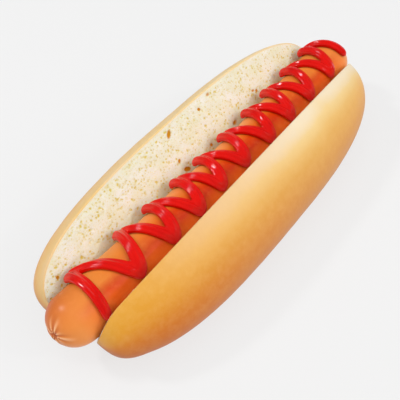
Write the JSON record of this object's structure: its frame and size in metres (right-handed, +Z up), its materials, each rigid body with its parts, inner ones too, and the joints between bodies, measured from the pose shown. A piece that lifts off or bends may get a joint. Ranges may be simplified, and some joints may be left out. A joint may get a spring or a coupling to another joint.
{
  "type": "hot dog",
  "caption": "Hot dog: a long frankfurter lying in a soft bun that is cut along its length and opened in a V, with a zigzag of ketchup over the sausage.",
  "frame": {"origin": "on the surface that it rests on, under the middle of the bun and halfway along the sausage", "axes": "+X along the sausage, from the end with the first ketchup stroke to the end with the last; +Y across, towards the half of the bun with the wider cut face; +Z up, out of the opening of the bun"},
  "size_m": [0.1849, 0.074, 0.043],
  "materials": {
    "bread": "bread: thin smooth golden crust outside, open cream-coloured crumb on the cut faces",
    "sausage_skin": "orange-red frankfurter skin with a soft shine",
    "ketchup": "thick wet tomato ketchup, glossy"
  },
  "bodies": {
    "root": {"bun": "bread", "sausage": "sausage_skin", "ketchup": "ketchup"}
  },
  "joints": []
}
